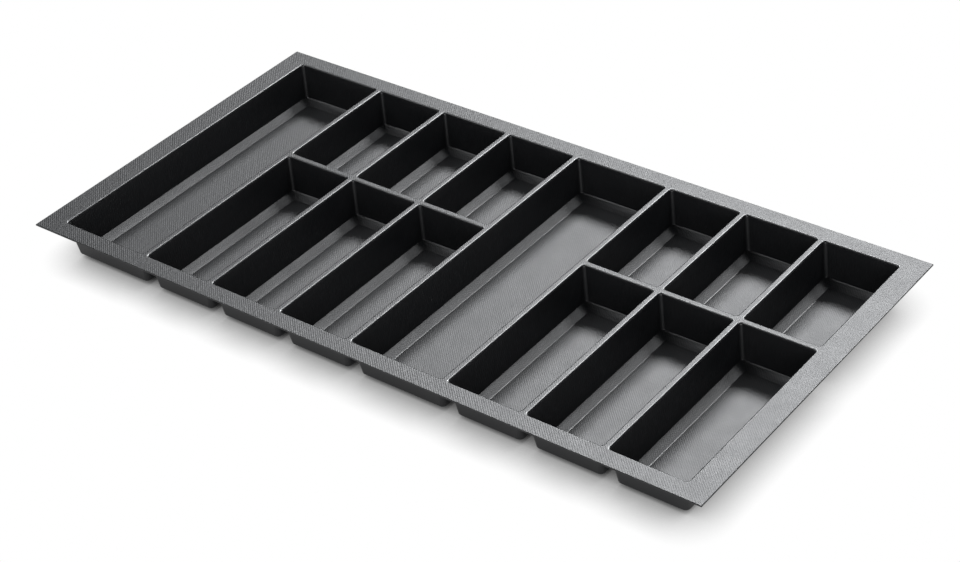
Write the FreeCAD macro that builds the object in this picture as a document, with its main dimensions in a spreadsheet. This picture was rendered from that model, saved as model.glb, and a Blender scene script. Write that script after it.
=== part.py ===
import FreeCAD, Part
import os

# Driving dimensions in millimetres
DRIVING = {
    "tray_width": 960.0,
    "tray_length": 490.0,
    "side_rim": 30.9,
    "end_rim": 23.7,
    "sheet": 2.0,
    "long_well_width": 128.0,
    "front_well_length": 257.0,
    "divider_width": 8.6,
    "well_depth": 51.0,
    "band_height": 6.2,
    "wall_inset": 6.0,
    "floor_inset": 16.8,
    "corner_radius": 4.5,
    "roll_radius": 2.7,
    "lip_depth": 6.0,
}

GROUPS = ("left", "middle")
NARROW_COLUMNS = 3
PAST = 1.0
ON_LEVEL = 1e-4
UPRIGHT = FreeCAD.Rotation(FreeCAD.Vector(1, 0, 0), 90)

# A flat that touches the middle of a round takes this share of its radius from both sides of the corner
FLAT_SHARE = "(2 - sqrt(2))"

# Sizes that follow from the driving ones: the narrow wells share the width that the rims, the long wells
# and the dividers leave, and the rear wells have the length behind the front ones
DERIVED = {
    "tray_height": "sizes.well_depth + sizes.sheet",
    "wells_width": "sizes.tray_width - 2 * sizes.side_rim",
    "long_well_length": "sizes.tray_length - 2 * sizes.end_rim",
    "group_pitch": f"(derived.wells_width + sizes.divider_width) / {len(GROUPS)}",
    "long_pitch": "sizes.long_well_width + sizes.divider_width",
    "narrow_pitch": f"(derived.group_pitch - derived.long_pitch) / {NARROW_COLUMNS}",
    "narrow_well_width": "derived.narrow_pitch - sizes.divider_width",
    "rear_well_length": "derived.long_well_length - sizes.front_well_length - sizes.divider_width",
    "wall_height": "sizes.well_depth - sizes.band_height",
    "wall_slope": "sizes.wall_inset / derived.wall_height",
    "sheet_across": "sizes.sheet * sqrt(1 + derived.wall_slope ^ 2)",
    "band_run": "sizes.floor_inset - sizes.wall_inset",
    "band_slope": "derived.band_run / sizes.band_height",
    "band_length": "sqrt(derived.band_run ^ 2 + sizes.band_height ^ 2)",
    "crease_shift": "sizes.sheet * sizes.band_height / (derived.band_run + derived.band_length)",
    "outer_floor_inset": "sizes.floor_inset - derived.crease_shift",
    "corner_cut": f"{FLAT_SHARE} * (sizes.corner_radius + sizes.sheet)",
    "hollow_cut": f"{FLAT_SHARE} * (sizes.roll_radius - sizes.sheet)",
}

doc = FreeCAD.newDocument("cutlery_tray")
sheet = doc.addObject("Spreadsheet::Sheet", "sizes")
derived = doc.addObject("App::VarSet", "derived")


def fill_sizes():
    """Writes the driving numbers to the sheet and ties the sizes that follow from them to it."""
    for row, (alias, value) in enumerate(DRIVING.items(), start=1):
        sheet.set(f"A{row}", alias)
        sheet.set(f"B{row}", str(value))
        sheet.setAlias(f"B{row}", alias)
    doc.recompute()
    for alias, formula in DERIVED.items():
        derived.addProperty("App::PropertyFloat", alias)
        derived.setExpression(alias, formula)
    doc.recompute()


def list_wells():
    """Label, mouth size and mouth centre of each well, as expressions measured from the tray's middle."""
    wells = []
    rows = (
        ("front", "sizes.front_well_length", "-(derived.rear_well_length + sizes.divider_width) / 2"),
        ("rear", "derived.rear_well_length", "(sizes.front_well_length + sizes.divider_width) / 2"),
    )
    for group, side in enumerate(GROUPS):
        start = f"({group} * derived.group_pitch - derived.wells_width / 2)"
        wells.append({
            "label": f"long_well_{side}",
            "width": "sizes.long_well_width",
            "length": "derived.long_well_length",
            "place": (f"{start} + sizes.long_well_width / 2", "0"),
        })
        for column in range(NARROW_COLUMNS):
            middle = f"derived.long_pitch + {column} * derived.narrow_pitch + derived.narrow_well_width / 2"
            for row, length, centre in rows:
                wells.append({
                    "label": f"{row}_well_{group * NARROW_COLUMNS + column + 1}",
                    "width": "derived.narrow_well_width",
                    "length": length,
                    "place": (f"{start} + {middle}", centre),
                })
    return wells


def inner_wall(level):
    """How far the drafted wall's inside stands in from the mouth at a height above the ground."""
    return f"derived.wall_slope * (derived.tray_height - ({level}))"


def outer_wall(level):
    """The same for the outside of the sheet."""
    return f"{inner_wall(level)} - derived.sheet_across"


def inner_band(level):
    """How far the sloped band's inside stands in from the mouth at a height above the ground."""
    return f"sizes.floor_inset - derived.band_slope * ({level} - sizes.sheet)"


def outer_band(level):
    """The same for the outside of the sheet."""
    return f"derived.outer_floor_inset - derived.band_slope * ({level})"


def shape_frustum(wedge, well, face, bottom, top):
    """Makes a wedge a block with four flat sides that lean as one face of the well does."""
    wedge.setExpression("Ymin", bottom)
    wedge.setExpression("Ymax", top)
    for level, end in ((bottom, ""), (top, "2")):
        for side, axis in (("width", "X"), ("length", "Z")):
            half = f"({well[side]}) / 2 - ({face(level)})"
            wedge.setExpression(f"{axis}{end}min", f"-({half})")
            wedge.setExpression(f"{axis}{end}max", half)
    wedge.Placement = FreeCAD.Placement(FreeCAD.Vector(), UPRIGHT)
    wedge.setExpression("Placement.Base.x", well["place"][0])
    wedge.setExpression("Placement.Base.y", well["place"][1])
    return wedge


def add_frustum(well, name, face, bottom, top):
    """A plain frustum."""
    return shape_frustum(doc.addObject("Part::Wedge", f"{well['label']}_{name}"), well, face, bottom, top)


def add_body(name):
    """An empty body with its own label."""
    body = doc.addObject("PartDesign::Body", name)
    body.Label = name
    return body


def dressed_frustum(well, name, face, bottom, top, kind, measure, amount):
    """A frustum whose four leaning edges are rounded or cut off."""
    body = add_body(f"{well['label']}_{name}")
    wedge = body.newObject("PartDesign::AdditiveWedge", f"{well['label']}_{name}_block")
    shape_frustum(wedge, well, face, bottom, top)
    doc.recompute()
    dress_edges(body, f"{well['label']}_{name}_edges", kind, measure, amount, leans)
    return body


def dress_edges(body, name, kind, measure, amount, chosen):
    """Adds a fillet or chamfer to a body, on the edges that the chosen function picks."""
    base = body.Tip
    edges = [f"Edge{number}" for number, edge in enumerate(base.Shape.Edges, start=1) if chosen(edge)]
    dress = body.newObject(f"PartDesign::{kind}", name)
    dress.Base = (base, edges)
    dress.setExpression(measure, amount)
    doc.recompute()


def leans(edge):
    """True for the four edges between the sides of a frustum."""
    first, last = (vertex.Point for vertex in edge.Vertexes)
    return abs(first.z - last.z) > ON_LEVEL


def outlines_at(level):
    """A test for the edges of the wells' outlines on one level of the deck, its own rim left out."""
    reach_x = sheet.get("tray_width") / 2 - ON_LEVEL
    reach_y = sheet.get("tray_length") / 2 - ON_LEVEL

    def on_outline(edge):
        points = [vertex.Point for vertex in edge.Vertexes]
        flat = all(abs(point.z - level) < ON_LEVEL for point in points)
        return flat and all(abs(point.x) < reach_x and abs(point.y) < reach_y for point in points)

    return on_outline


def add_cavity(well):
    """The room between a well's drafted walls, from the ground to above the rim, with round corners."""
    return dressed_frustum(well, "cavity", inner_wall, "0", f"derived.tray_height + {PAST}",
                           "Fillet", "Radius", "sizes.corner_radius")


def build_well(well, cavity):
    """One well from the lip down: drafted wall, sloped band and flat floor, open at the top."""
    label = well["label"]
    lip = "derived.tray_height - sizes.lip_depth"
    hollow = doc.addObject("Part::Common", f"{label}_hollow")
    hollow.Base = cavity
    hollow.Tool = add_frustum(well, "bands", inner_band, "sizes.sheet", f"derived.tray_height + {PAST}")
    skin = doc.addObject("Part::Common", f"{label}_skin")
    skin.Base = dressed_frustum(well, "skin_walls", outer_wall, f"-{PAST}", lip,
                                "Chamfer", "Size", "derived.corner_cut")
    skin.Tool = add_frustum(well, "skin_bands", outer_band, "0", f"{lip} + {PAST}")
    shell = doc.addObject("Part::Cut", f"{label}_shell")
    shell.Label = label
    shell.Base = skin
    shell.Tool = hollow
    return shell


def build_deck(wells, cavities):
    """The flat rim and the tops of the dividers, with a rolled lip down into every well."""
    plate = doc.addObject("Part::Box", "deck_plate")
    plate.setExpression("Length", "sizes.tray_width")
    plate.setExpression("Width", "sizes.tray_length")
    plate.setExpression("Height", "sizes.sheet")
    plate.setExpression("Placement.Base.x", "-sizes.tray_width / 2")
    plate.setExpression("Placement.Base.y", "-sizes.tray_length / 2")
    plate.setExpression("Placement.Base.z", "sizes.well_depth")
    foot = "derived.tray_height - sizes.lip_depth"
    head = "derived.tray_height - sizes.sheet / 2"
    lips = [dressed_frustum(well, "lip", outer_wall, foot, head, "Chamfer", "Size", "derived.corner_cut")
            for well in wells]
    blank = doc.addObject("Part::MultiFuse", "deck_blank")
    blank.Shapes = [plate] + lips
    mouths = doc.addObject("Part::Compound", "deck_mouths")
    mouths.Links = cavities
    opened = doc.addObject("Part::Cut", "deck_opened")
    opened.Base = blank
    opened.Tool = mouths
    body = add_body("rim_deck")
    body.BaseFeature = opened
    doc.recompute()
    top = outlines_at(derived.tray_height)
    dress_edges(body, "rim_deck_rolls", "Fillet", "Radius", "sizes.roll_radius", top)
    underside = outlines_at(sheet.get("well_depth"))
    dress_edges(body, "rim_deck_hollows", "Chamfer", "Size", "derived.hollow_cut", underside)
    return body


def check_and_export(pieces):
    """Stops on any fault, and writes one file for each piece."""
    doc.recompute()
    faults = [item.Label for item in doc.Objects if "Invalid" in item.State or "Error" in item.State]
    faults += [piece.Label for piece in pieces if piece.Shape.isNull() or not piece.Shape.isValid()]
    if faults:
        raise RuntimeError(f"these objects have faults: {faults}")
    os.makedirs("parts", exist_ok=True)
    for piece in pieces:
        piece.Shape.exportStep(f"parts/{piece.Label}.step")


fill_sizes()
wells = list_wells()
cavities = [add_cavity(well) for well in wells]
deck = build_deck(wells, cavities)
check_and_export([deck] + [build_well(well, cavity) for well, cavity in zip(wells, cavities)])
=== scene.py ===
"""Looks of a cutlery tray: a thin moulded sheet of anthracite plastic with a flat rim and rows of wells."""

import logging
import math
from collections.abc import Callable
from dataclasses import dataclass
from enum import Enum

import bmesh
import bpy
from mathutils import Matrix, Vector


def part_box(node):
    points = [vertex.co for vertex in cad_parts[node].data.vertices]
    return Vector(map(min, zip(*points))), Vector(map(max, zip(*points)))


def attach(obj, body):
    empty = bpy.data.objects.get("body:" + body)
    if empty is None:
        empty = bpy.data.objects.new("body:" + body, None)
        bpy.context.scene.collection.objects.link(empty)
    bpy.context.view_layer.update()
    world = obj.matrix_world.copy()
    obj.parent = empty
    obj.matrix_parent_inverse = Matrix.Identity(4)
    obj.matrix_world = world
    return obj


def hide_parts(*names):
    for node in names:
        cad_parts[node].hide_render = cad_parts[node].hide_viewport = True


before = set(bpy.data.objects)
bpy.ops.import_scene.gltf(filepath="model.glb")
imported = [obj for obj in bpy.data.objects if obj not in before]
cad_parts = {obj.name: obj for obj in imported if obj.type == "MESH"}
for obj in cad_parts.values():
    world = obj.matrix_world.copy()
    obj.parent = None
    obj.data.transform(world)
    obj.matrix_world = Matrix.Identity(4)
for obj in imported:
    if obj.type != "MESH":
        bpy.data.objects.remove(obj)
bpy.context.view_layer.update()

LOG = logging.getLogger("cutlery_tray")
BODY = "root"
DECK_NODE = "rim_deck"
ROUND_MARK = "round_mark"
UNDERSIDE_MARK = "underside_mark"
ON_LEVEL = 1e-5
LEVEL_FACE = 0.7
SHOWN_RAYS = ("Is Camera Ray", "Is Glossy Ray", "Is Transmission Ray")

Number = float | int


@dataclass(frozen=True)
class SheetForm:
    """Sizes that every well of the moulding shares, in metres."""

    thickness: float = 0.002
    band_height: float = 0.0062
    wall_inset: float = 0.006
    floor_inset: float = 0.0168
    corner_radius: float = 0.0045
    roll_radius: float = 0.0027
    floor_crease: float = 0.0025
    band_crease: float = 0.0008
    cut_edge: float = 0.0005
    flange: float = 0.0039
    corner_steps: int = 8
    roll_steps: int = 8
    crease_steps: int = 4
    edge_steps: int = 2
    round_width: float = 0.0012
    round_lean: tuple[float, float] = (0.2, 0.999)
    underside_lean: float = 0.05
    smooth_angle: float = math.radians(40)


@dataclass(frozen=True)
class Outline:
    """A level rectangle, seen from above, in metres."""

    left: float
    right: float
    front: float
    rear: float

    @property
    def centre(self) -> tuple[float, float]:
        """Middle of the rectangle."""
        return (self.left + self.right) / 2, (self.front + self.rear) / 2

    @property
    def size(self) -> tuple[float, float]:
        """Width and length of the rectangle."""
        return self.right - self.left, self.rear - self.front

    def inset(self, distance: float) -> "Outline":
        """The same rectangle with each side moved in by a distance."""
        return Outline(self.left + distance, self.right - distance,
                       self.front + distance, self.rear - distance)


# The plate of one metre that every mesh starts from
START_PLATE = Outline(-0.5, 0.5, -0.5, 0.5)


class WellKind(Enum):
    """The three sizes of well, by the start of their nodes' names."""

    LONG = "long_well"
    FRONT = "front_well"
    REAR = "rear_well"

    def nodes(self) -> list[str]:
        """Names of the nodes of this kind, in order."""
        return sorted(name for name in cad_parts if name.startswith(self.value))


@dataclass(frozen=True)
class TrayLevels:
    """Heights of the moulding above the ground, in metres, and the lean of its walls."""

    form: SheetForm
    top: float
    lip: float

    @property
    def floor(self) -> float:
        """Upper side of the wells' floors."""
        return self.form.thickness

    @property
    def band(self) -> float:
        """Upper edge of the sloped band."""
        return self.floor + self.form.band_height

    @property
    def wall_slope(self) -> float:
        """How far a drafted wall goes in for each metre that it goes down."""
        return self.form.wall_inset / (self.top - self.band)

    @property
    def lean(self) -> float:
        """Angle of a drafted wall from upright."""
        return math.atan(self.wall_slope)

    def wall(self, level: float) -> float:
        """Inset of a drafted wall's inner side from the mouth at a level."""
        return self.wall_slope * (self.top - level)

    def mouth(self, node: str) -> Outline:
        """Outline of the mouth of one well, from the box of its node.

        Args:
            node: Name of the well's node.

        Returns:
            The outline where the drafted walls would cut the plane of the deck.
        """
        low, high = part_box(node)
        across = self.form.thickness / math.cos(self.lean)
        return Outline(low.x, high.x, low.y, high.y).inset(across - self.wall(self.lip))


def round_offset(radius: float, turn: float) -> float:
    """Distance from a sharp edge at which a round of that radius starts.

    Args:
        radius: Radius of the round.
        turn: Angle between the two faces' normals.

    Returns:
        The distance along either face.
    """
    return radius * math.tan(turn / 2)


class MeshBench:
    """Edit-mode work on one new mesh, where operators act on what a test has picked."""

    FLAT_WEIGHT = 90

    def __init__(self, name: str) -> None:
        """Starts with a plain plate of one metre, in edit mode, and nothing else selected."""
        bpy.ops.object.select_all(action="DESELECT")
        bpy.ops.mesh.primitive_plane_add(size=1.0)
        self.piece = bpy.context.active_object
        self.piece.name = name
        self.piece.data.name = name
        bpy.ops.object.mode_set(mode="EDIT")

    def pick(self, kind: str, test: Callable[[object], bool]) -> None:
        """Selects the edges or faces that pass a test, and nothing else.

        Args:
            kind: Either "edges" or "faces".
            test: Says whether one edge or face is wanted.
        """
        bpy.ops.mesh.select_mode(type="EDGE" if kind == "edges" else "FACE")
        bpy.ops.mesh.select_all(action="DESELECT")
        mesh = bmesh.from_edit_mesh(self.piece.data)
        wanted = [item for item in getattr(mesh, kind) if test(item)]
        for item in wanted:
            item.select_set(True)
        mesh.select_flush_mode()
        bmesh.update_edit_mesh(self.piece.data)

    def fit(self, old: Outline, new: Outline, level: float) -> None:
        """Resizes and moves what is selected from one outline to another.

        Args:
            old: Outline that the selection has now.
            new: Outline that it gets.
            level: Height of the selection.
        """
        ratio = (new.size[0] / old.size[0], new.size[1] / old.size[1], 1.0)
        bpy.ops.transform.resize(value=ratio, center_override=(*old.centre, level))
        shift = (new.centre[0] - old.centre[0], new.centre[1] - old.centre[1], 0.0)
        bpy.ops.transform.translate(value=shift)

    def extrude(self, depth: float) -> None:
        """Extrudes what is selected straight down."""
        bpy.ops.mesh.extrude_region_move(TRANSFORM_OT_translate={"value": (0.0, 0.0, -depth)})

    def round_edges(self, offset: float, steps: int) -> None:
        """Bevels the selected edges to a round profile."""
        bpy.ops.mesh.bevel(offset=offset, offset_type="OFFSET", segments=steps, profile=0.5,
                           affect="EDGES", clamp_overlap=False)

    def face_up(self) -> None:
        """Makes the skin's faces agree, with its largest level face upwards."""
        bpy.ops.mesh.select_all(action="SELECT")
        bpy.ops.mesh.normals_make_consistent(inside=False)
        mesh = bmesh.from_edit_mesh(self.piece.data)
        largest = max(mesh.faces, key=lambda face: face.calc_area() * abs(face.normal.z))
        if largest.normal.z < 0:
            bpy.ops.mesh.flip_normals()

    def thicken(self, form: SheetForm) -> None:
        """Gives the skin the sheet's thickness, below and outside."""
        bpy.ops.object.mode_set(mode="OBJECT")
        sheet = self.piece.modifiers.new("sheet", "SOLIDIFY")
        sheet.thickness = form.thickness
        sheet.offset = -1.0
        sheet.use_even_offset = True
        bpy.ops.object.modifier_apply(modifier=sheet.name)

    def smooth(self, form: SheetForm) -> bpy.types.Object:
        """Shades the piece smooth, with true flats, and marks its rounds and its underside.

        Args:
            form: Sizes of the sheet.

        Returns:
            The finished piece.
        """
        bpy.ops.object.shade_smooth_by_angle(angle=form.smooth_angle)
        flats = self.piece.modifiers.new("flats", "WEIGHTED_NORMAL")
        flats.mode = "FACE_AREA"
        flats.weight = self.FLAT_WEIGHT
        flats.keep_sharp = True
        bpy.ops.object.modifier_apply(modifier=flats.name)
        self.mark_faces(form)
        return self.piece

    def mark_faces(self, form: SheetForm) -> None:
        """Writes two face attributes: 1 on the narrow faces of rolls and creases, and 1 on the underside.

        Args:
            form: Sizes of the sheet.
        """
        mesh = self.piece.data
        names = (ROUND_MARK, UNDERSIDE_MARK)
        for name in names:
            mesh.attributes.new(name, "FLOAT", "FACE")
        rounds, undersides = (mesh.attributes[name].data for name in names)
        steep, flat = form.round_lean
        for face in mesh.polygons:
            corners = [mesh.vertices[index].co for index in face.vertices]
            longest = max((end - start).length for start, end in zip(corners, corners[1:] + corners[:1]))
            narrow = face.area < form.round_width * longest
            rounds[face.index].value = float(narrow and steep < abs(face.normal.z) < flat)
            undersides[face.index].value = float(face.normal.z < form.underside_lean)


def at_level(edge: bmesh.types.BMEdge, level: float) -> bool:
    """True if both ends of an edge are at one height."""
    return all(abs(vert.co.z - level) < ON_LEVEL for vert in edge.verts)


def between_levels(edge: bmesh.types.BMEdge, low: float, high: float) -> bool:
    """True if an edge runs from one height to another."""
    heights = sorted(vert.co.z for vert in edge.verts)
    return abs(heights[0] - low) < ON_LEVEL and abs(heights[1] - high) < ON_LEVEL


@dataclass
class RimDeck:
    """The flat rim, the tops of the dividers and the rolled lips of all mouths."""

    levels: TrayLevels
    mouths: list[Outline]

    @property
    def form(self) -> SheetForm:
        """Sizes of the sheet."""
        return self.levels.form

    def build(self) -> bpy.types.Object:
        """Models every lip, joins them and fills the flat between them and the rim's edge.

        Returns:
            The finished deck.
        """
        lips = [self.build_lip(mouth) for mouth in self.mouths]
        bench = MeshBench("moulded_rim_deck")
        low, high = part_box(DECK_NODE)
        bpy.ops.transform.resize(value=(high.x - low.x, high.y - low.y, 1.0))
        bpy.ops.transform.translate(value=((low.x + high.x) / 2, (low.y + high.y) / 2, self.levels.top))
        bpy.ops.mesh.delete(type="ONLY_FACE")
        bpy.ops.object.mode_set(mode="OBJECT")
        for lip in lips:
            lip.select_set(True)
        bpy.ops.object.join()
        bpy.ops.object.mode_set(mode="EDIT")
        bench.pick("edges", lambda edge: len(edge.link_faces) < 2 and at_level(edge, self.levels.top))
        bpy.ops.mesh.fill(use_beauty=True)
        bench.face_up()
        bench.thicken(self.form)
        bpy.ops.object.mode_set(mode="EDIT")
        bench.pick("edges", lambda edge: at_level(edge, self.levels.top) and is_rim(edge))
        bench.round_edges(self.form.cut_edge, self.form.edge_steps)
        bpy.ops.object.mode_set(mode="OBJECT")
        return bench.smooth(self.form)

    def build_lip(self, mouth: Outline) -> bpy.types.Object:
        """Models one mouth: a short drafted wall, round in its corners, a flange and the roll between them.

        Args:
            mouth: Outline of the mouth.

        Returns:
            The open ring, still to be joined.
        """
        levels, form = self.levels, self.form
        bench = MeshBench("lip")
        build_tube(bench, mouth, levels, levels.top, levels.lip)
        bench.pick("faces", lambda face: abs(face.normal.z) > math.cos(levels.lean))
        bpy.ops.mesh.delete(type="ONLY_FACE")
        round_corners(bench, levels, levels.lip, levels.top)
        bench.pick("edges", lambda edge: at_level(edge, levels.top))
        bench.extrude(0.0)
        bench.fit(mouth, mouth.inset(-form.flange), levels.top)
        bench.pick("edges", lambda edge: at_level(edge, levels.top) and is_rim(edge))
        bench.round_edges(round_offset(form.roll_radius, math.pi / 2 - levels.lean), form.roll_steps)
        bpy.ops.object.mode_set(mode="OBJECT")
        return bench.piece


def build_tube(bench: MeshBench, mouth: Outline, levels: TrayLevels, high: float, low: float) -> None:
    """Shapes the starting plate into a block with drafted walls, whose lower face stays selected.

    Args:
        bench: The mesh in work.
        mouth: Outline of the mouth.
        levels: Heights of the moulding.
        high: Upper level.
        low: Lower level.
    """
    upper, lower = mouth.inset(levels.wall(high)), mouth.inset(levels.wall(low))
    bench.fit(START_PLATE, upper, 0.0)
    bpy.ops.transform.translate(value=(0.0, 0.0, high))
    bench.extrude(high - low)
    bench.fit(upper, lower, low)


def round_corners(bench: MeshBench, levels: TrayLevels, low: float, high: float) -> None:
    """Rounds the four leaning edges between two drafted walls.

    Args:
        bench: The mesh in work.
        levels: Heights of the moulding.
        low: Lower end of the edges.
        high: Upper end of the edges.
    """
    turn = math.acos(math.sin(levels.lean) ** 2)
    bench.pick("edges", lambda edge: between_levels(edge, low, high))
    bench.round_edges(round_offset(levels.form.corner_radius, turn), levels.form.corner_steps)


def is_rim(edge: bmesh.types.BMEdge) -> bool:
    """True for a sharp edge between a level face and a wall."""
    flat = [abs(face.normal.z) > LEVEL_FACE for face in edge.link_faces]
    return any(flat) and not all(flat)


@dataclass
class Wells:
    """The wells of one kind below their lips: drafted walls, sloped bands and flat floors."""

    levels: TrayLevels
    nodes: list[str]

    def build(self) -> list[bpy.types.Object]:
        """Models the first well and copies it to the places of the others.

        Returns:
            One finished piece for each node.
        """
        first = self.build_first()
        home = Vector(self.levels.mouth(self.nodes[0]).centre).to_3d()
        pieces = [first]
        for node in self.nodes[1:]:
            copy = first.copy()
            copy.data = first.data.copy()
            copy.name = f"moulded_{node}"
            copy.data.name = copy.name
            bpy.context.collection.objects.link(copy)
            shift = Vector(self.levels.mouth(node).centre).to_3d() - home
            copy.data.transform(Matrix.Translation(shift))
            pieces.append(copy)
        return pieces

    def build_first(self) -> bpy.types.Object:
        """Models the first well.

        Returns:
            The finished piece.
        """
        levels, form = self.levels, self.levels.form
        mouth = levels.mouth(self.nodes[0])
        bench = MeshBench(f"moulded_{self.nodes[0]}")
        build_tube(bench, mouth, levels, levels.lip, levels.band)
        bench.extrude(form.band_height)
        bench.fit(mouth.inset(form.wall_inset), mouth.inset(form.floor_inset), levels.floor)
        bench.pick("faces", lambda face: abs(face.calc_center_median().z - levels.lip) < ON_LEVEL)
        bpy.ops.mesh.delete(type="FACE")
        round_corners(bench, levels, levels.band, levels.lip)
        slope = math.atan2(form.band_height, form.floor_inset - form.wall_inset)
        bench.pick("edges", self.is_floor_crease)
        bench.round_edges(round_offset(form.floor_crease, slope), form.crease_steps)
        bench.pick("edges", lambda edge: at_level(edge, levels.band))
        fold = math.pi / 2 - levels.lean - slope
        bench.round_edges(round_offset(form.band_crease, fold), form.edge_steps)
        bench.face_up()
        bench.thicken(form)
        return bench.smooth(form)

    def is_floor_crease(self, edge: bmesh.types.BMEdge) -> bool:
        """True for the edges round the floor and between two bands."""
        levels = self.levels
        return at_level(edge, levels.floor) or between_levels(edge, levels.floor, levels.band)


class Term:
    """A socket of a node tree that takes part in Python arithmetic."""

    def __init__(self, tree: "ShaderTree", socket: bpy.types.NodeSocket) -> None:
        """Keeps the tree and the socket."""
        self.tree = tree
        self.socket = socket

    def __add__(self, other: "Term | Number") -> "Term":
        """Sum of two values."""
        return self.tree.math("ADD", self, other)

    def __sub__(self, other: "Term | Number") -> "Term":
        """Difference of two values."""
        return self.tree.math("SUBTRACT", self, other)

    def __mul__(self, other: "Term | Number") -> "Term":
        """Product of two values."""
        return self.tree.math("MULTIPLY", self, other)

    def __rsub__(self, other: Number) -> "Term":
        """Difference from a plain number."""
        return self.tree.math("SUBTRACT", other, self)

    __radd__ = __add__
    __rmul__ = __mul__


class ShaderTree:
    """The node tree of one material or world, emptied and built up by calls."""

    def __init__(self, owner: bpy.types.Material | bpy.types.World) -> None:
        """Switches nodes on and removes those that are there."""
        owner.use_nodes = True
        self.nodes = owner.node_tree.nodes
        self.links = owner.node_tree.links
        self.nodes.clear()

    def node(self, kind: str, settings: dict | None = None, inputs: dict | None = None) -> bpy.types.Node:
        """Adds a node.

        Args:
            kind: The node's type.
            settings: Properties, which are set first.
            inputs: Values or links by socket name or number.

        Returns:
            The new node.
        """
        node = self.nodes.new(kind)
        for name, value in (settings or {}).items():
            setattr(node, name, value)
        for key, value in (inputs or {}).items():
            self.feed(node.inputs[key], value)
        return node

    def feed(self, socket: bpy.types.NodeSocket, value: object) -> None:
        """Links a term or sets a plain value."""
        if isinstance(value, Term):
            self.links.new(value.socket, socket)
        else:
            socket.default_value = value

    def term(self, node: bpy.types.Node, output: str | int = 0) -> Term:
        """One output of a node as a term."""
        return Term(self, node.outputs[output])

    def mark(self, name: str) -> Term:
        """A face attribute of the piece as a term."""
        return self.term(self.node("ShaderNodeAttribute", {"attribute_name": name}), "Fac")

    def noise(self, place: Term, scale: float, detail: float) -> Term:
        """Random values about 0.5 in space.

        Args:
            place: Coordinates.
            scale: Waves to the metre.
            detail: How many finer layers are added.

        Returns:
            The values as a term.
        """
        inputs = {"Vector": place, "Scale": scale, "Detail": detail}
        return self.term(self.node("ShaderNodeTexNoise", {"noise_dimensions": "3D"}, inputs), "Fac")

    def math(self, operation: str, *values: Term | Number) -> Term:
        """Adds a Math node.

        Args:
            operation: The node's operation.
            values: Its inputs in order.

        Returns:
            The result as a term.
        """
        return self.term(self.node("ShaderNodeMath", {"operation": operation}, dict(enumerate(values))))


@dataclass(frozen=True)
class AnthracitePlastic:
    """Dark sheet plastic with an embossed woven grain and a satin sheen above, and plain below."""

    colour: tuple[float, float, float] = (0.0009, 0.0013, 0.0024)
    lighter: tuple[float, float, float] = (0.0022, 0.0029, 0.0046)
    roughness: float = 0.45
    specular: float = 0.73
    ior: float = 1.6
    plain_roughness: float = 0.5
    plain_specular: float = 0.35
    roughness_spread: float = 0.08
    round_polish: float = 0.15
    well_matting: float = 0.045
    round_wear: float = 0.85
    thread_pitch: float = 0.0034
    well_threads: float = 0.0001
    deck_threads: float = 0.00013
    grain_scale: float = 260.0
    grain_detail: float = 2.0
    well_grain: float = 0.00016
    deck_grain: float = 0.00022
    deck_starts: tuple[float, float] = (0.046, 0.052)
    mottle_scale: float = 38.0
    mottle_detail: float = 4.0
    weave_tone: float = 0.5

    def make(self) -> bpy.types.Material:
        """Builds the material.

        Returns:
            The material, on Object coordinates.
        """
        material = bpy.data.materials.new("anthracite_plastic")
        tree = ShaderTree(material)
        place = tree.term(tree.node("ShaderNodeTexCoord"), "Object")
        weave = self.weave(tree, place)
        grain = tree.noise(place, self.grain_scale, self.grain_detail)
        mottle = tree.noise(place, self.mottle_scale, self.mottle_detail)
        tone = weave * self.weave_tone + mottle * (1 - self.weave_tone)
        colour = tree.node("ShaderNodeMix", {"data_type": "RGBA"},
                           {0: tone, 6: (*self.colour, 1.0), 7: (*self.lighter, 1.0)})
        rounding, deck = tree.mark(ROUND_MARK), self.deck_share(tree, place)
        matting = self.roughness_spread * (mottle - 0.5) + self.well_matting * (1 - deck)
        grade = self.roughness + matting - self.round_polish * rounding
        thread_height = self.well_threads + (self.deck_threads - self.well_threads) * deck
        grain_height = self.well_grain + (self.deck_grain - self.well_grain) * deck
        relief = weave * thread_height + grain * grain_height
        height = relief * (1 - self.round_wear * rounding)
        bump = tree.node("ShaderNodeBump", None, {"Height": height, "Distance": 1.0, "Strength": 1.0})
        grained = tree.node("ShaderNodeBsdfPrincipled", None, {
            "Base Color": tree.term(colour, 2),
            "Roughness": grade,
            "Normal": tree.term(bump),
            "IOR": self.ior,
            "Specular IOR Level": self.specular,
        })
        plain = tree.node("ShaderNodeBsdfPrincipled", None, {
            "Base Color": tree.term(colour, 2),
            "Roughness": self.plain_roughness,
            "IOR": self.ior,
            "Specular IOR Level": self.plain_specular,
        })
        sides = {0: tree.mark(UNDERSIDE_MARK), 1: tree.term(grained), 2: tree.term(plain)}
        surface = tree.node("ShaderNodeMixShader", None, sides)
        tree.node("ShaderNodeOutputMaterial", None, {"Surface": tree.term(surface)})
        return material

    def deck_share(self, tree: ShaderTree, place: Term) -> Term:
        """Tells the deck, where the sheet keeps its grain, from the wells, where it is stretched.

        Args:
            tree: The material's tree.
            place: Object coordinates.

        Returns:
            1 on the deck, 0 in the wells.
        """
        low, high = self.deck_starts
        level = tree.term(tree.node("ShaderNodeSeparateXYZ", None, {0: place}), "Z")
        return tree.term(tree.node("ShaderNodeMapRange", None, {
            "Value": level,
            "From Min": low,
            "From Max": high,
        }))

    def weave(self, tree: ShaderTree, place: Term) -> Term:
        """Height of the woven emboss, from 0 to 1.

        Args:
            tree: The material's tree.
            place: Object coordinates.

        Returns:
            Crossing threads that rise and dip in turn.
        """
        axes = tree.node("ShaderNodeSeparateXYZ", None, {0: place})
        rate = 2 * math.pi / self.thread_pitch
        across, along = (tree.math("SINE", tree.term(axes, axis) * rate) for axis in ("X", "Y"))
        return across * along * 0.5 + 0.5


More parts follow.
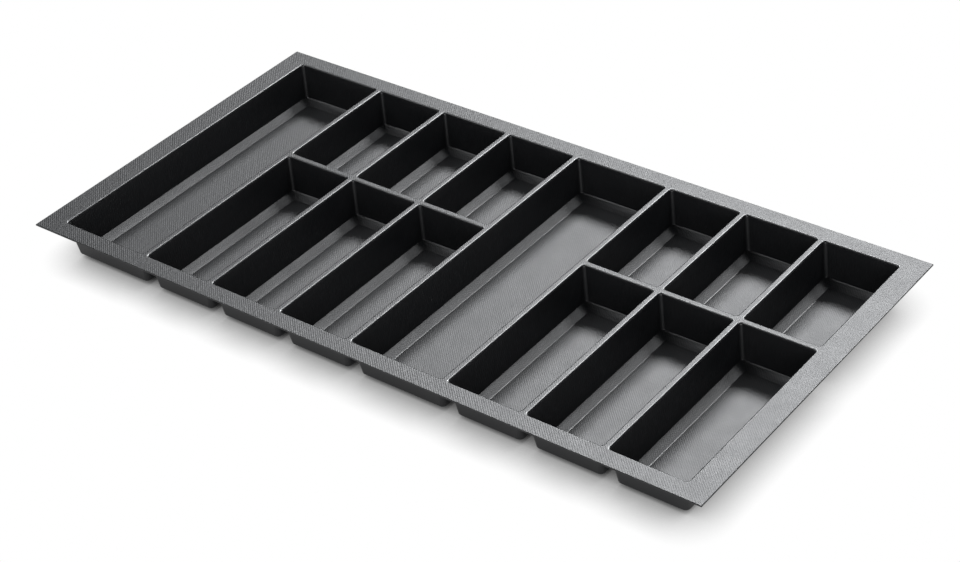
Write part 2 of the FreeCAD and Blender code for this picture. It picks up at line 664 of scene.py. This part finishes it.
@dataclass(frozen=True)
class Softbox:
    """A rectangular lamp, placed by its direction from the tray."""

    name: str
    azimuth: float
    elevation: float
    distance: float
    size: tuple[float, float]
    power: float

    @property
    def offset(self) -> Vector:
        """Way from the tray to the lamp; an azimuth turns from the rear to the left."""
        level = math.cos(self.elevation)
        left, rear = math.sin(self.azimuth) * level, math.cos(self.azimuth) * level
        return Vector((-left, rear, math.sin(self.elevation))) * self.distance


@dataclass(frozen=True)
class Studio:
    """White ground, soft lamps and the camera at the photograph's viewpoint."""

    camera_place: tuple[float, float, float] = (1.384, -1.64638, 1.52787)
    camera_target: tuple[float, float, float] = (0.03754, -0.02866, 0.03)
    camera_roll: float = math.radians(-4.743)
    lens: float = 82.86
    ground_size: float = 16.0
    lamp_tint: tuple[float, float, float] = (0.965, 0.98, 1.0)
    ground_tone: float = 0.88
    shadow_reach: float = 0.05
    shadow_depth: float = 1.3
    shadow_samples: int = 16
    horizon: float = 1.0
    ceiling: float = 0.02
    horizon_ends: float = 0.04
    ceiling_starts: float = 0.14
    lamp_target: tuple[float, float, float] = (0.0, 0.0, 0.03)
    softboxes: tuple[Softbox, ...] = (
        Softbox("key", math.radians(3.0), math.radians(42.5), 12.0, (1.8, 2.4), 350.0),
        Softbox("side", math.radians(-36.0), math.radians(59.0), 12.0, (2.6, 2.6), 250.0),
        Softbox("wide", math.radians(26.5), math.radians(42.0), 12.0, (4.2, 2.2), 920.0),
        Softbox("fill", math.radians(110.0), math.radians(60.0), 3.0, (2.2, 2.2), 29.0),
        Softbox("front", math.radians(220.0), math.radians(20.0), 4.0, (2.0, 2.0), 42.0),
    )

    def build(self) -> None:
        """Sets up ground, world, lamps and camera."""
        self.add_ground()
        self.set_world()
        for softbox in self.softboxes:
            self.add_lamp(softbox)
        self.add_camera()
        bpy.context.scene.view_settings.view_transform = "Standard"

    def add_ground(self) -> None:
        """A large pale plane that looks white, with a painted shadow near the tray: to seen rays it glows,
        and ambient occlusion dims that glow where the tray is close by.
        """
        bpy.ops.object.select_all(action="DESELECT")
        bpy.ops.mesh.primitive_plane_add(size=self.ground_size, location=(0.0, 0.0, -ON_LEVEL))
        ground = bpy.context.active_object
        ground.name = "ground"
        material = bpy.data.materials.new("white_ground")
        tree = ShaderTree(material)
        path = tree.node("ShaderNodeLightPath")
        direct, glossy, through = (tree.term(path, kind) for kind in SHOWN_RAYS)
        seen = tree.math("MAXIMUM", tree.math("MAXIMUM", direct, glossy), through)
        matt = tree.node("ShaderNodeBsdfDiffuse", None, {"Color": (*[self.ground_tone] * 3, 1.0)})
        # Painted shadow: the glow that seen rays meet is dimmed by ambient occlusion near the tray, not by
        # the lamps' light being shut out.
        painted_shadow_occlusion = tree.node("ShaderNodeAmbientOcclusion", {"samples": self.shadow_samples},
                             {"Distance": self.shadow_reach})
        light = tree.math("POWER", tree.term(painted_shadow_occlusion, "AO"), self.shadow_depth)
        shown = tree.node("ShaderNodeEmission", None, {"Strength": light})
        mix = tree.node("ShaderNodeMixShader", None, {0: seen, 1: tree.term(matt), 2: tree.term(shown)})
        tree.node("ShaderNodeOutputMaterial", None, {"Surface": tree.term(mix)})
        ground.data.materials.append(material)

    def set_world(self) -> None:
        """White walls up to a little above the horizon, and a dim ceiling."""
        world = bpy.data.worlds.new("studio")
        bpy.context.scene.world = world
        tree = ShaderTree(world)
        way = tree.term(tree.node("ShaderNodeTexCoord"), "Generated")
        rise = tree.term(tree.node("ShaderNodeSeparateXYZ", None, {0: way}), "Z")
        fade = tree.node("ShaderNodeMapRange", {"interpolation_type": "SMOOTHSTEP"}, {
            "Value": rise,
            "From Min": self.horizon_ends,
            "From Max": self.ceiling_starts,
            "To Min": self.horizon,
            "To Max": self.ceiling,
        })
        back = tree.node("ShaderNodeBackground", None, {
            "Color": (1.0, 1.0, 1.0, 1.0),
            "Strength": tree.term(fade),
        })
        tree.node("ShaderNodeOutputWorld", None, {"Surface": tree.term(back)})

    def add_lamp(self, softbox: Softbox) -> None:
        """Adds a rectangular lamp that faces the tray."""
        light = bpy.data.lights.new(softbox.name, "AREA")
        light.shape = "RECTANGLE"
        light.size, light.size_y = softbox.size
        light.energy = softbox.power
        light.color = self.lamp_tint
        lamp = bpy.data.objects.new(softbox.name, light)
        bpy.context.collection.objects.link(lamp)
        lamp.location = Vector(self.lamp_target) + softbox.offset
        lamp.rotation_euler = softbox.offset.to_track_quat("Z", "Y").to_euler()

    def add_camera(self) -> None:
        """Adds the camera and makes it the scene's own."""
        lens = bpy.data.cameras.new("camera")
        lens.lens = self.lens
        lens.sensor_fit = "HORIZONTAL"
        camera = bpy.data.objects.new("camera", lens)
        bpy.context.collection.objects.link(camera)
        aim = (Vector(self.camera_target) - Vector(self.camera_place)).to_track_quat("-Z", "Y")
        turn = aim.to_matrix() @ Matrix.Rotation(self.camera_roll, 3, "Z")
        camera.matrix_world = Matrix.Translation(self.camera_place) @ turn.to_4x4()
        bpy.context.scene.camera = camera


def put_in_place(piece: bpy.types.Object, node: str, plastic: bpy.types.Material) -> None:
    """Dresses a piece and lets it stand for its CAD node.

    Args:
        piece: The finished piece.
        node: The node that it replaces.
        plastic: Its material.
    """
    piece.data.materials.clear()
    piece.data.materials.append(plastic)
    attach(piece, BODY)
    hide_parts(node)
    LOG.info("%s stands for %s with %d faces", piece.name, node, len(piece.data.polygons))


def main() -> None:
    logging.basicConfig(level=logging.INFO)
    wells = {kind: kind.nodes() for kind in WellKind}
    first = wells[WellKind.LONG][0]
    levels = TrayLevels(SheetForm(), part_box(DECK_NODE)[1].z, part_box(first)[1].z)
    plastic = AnthracitePlastic().make()
    for nodes in wells.values():
        for piece, node in zip(Wells(levels, nodes).build(), nodes):
            put_in_place(piece, node, plastic)
    mouths = [levels.mouth(node) for nodes in wells.values() for node in nodes]
    put_in_place(RimDeck(levels, mouths).build(), DECK_NODE, plastic)
    Studio().build()


if __name__ == "__main__":
    main()
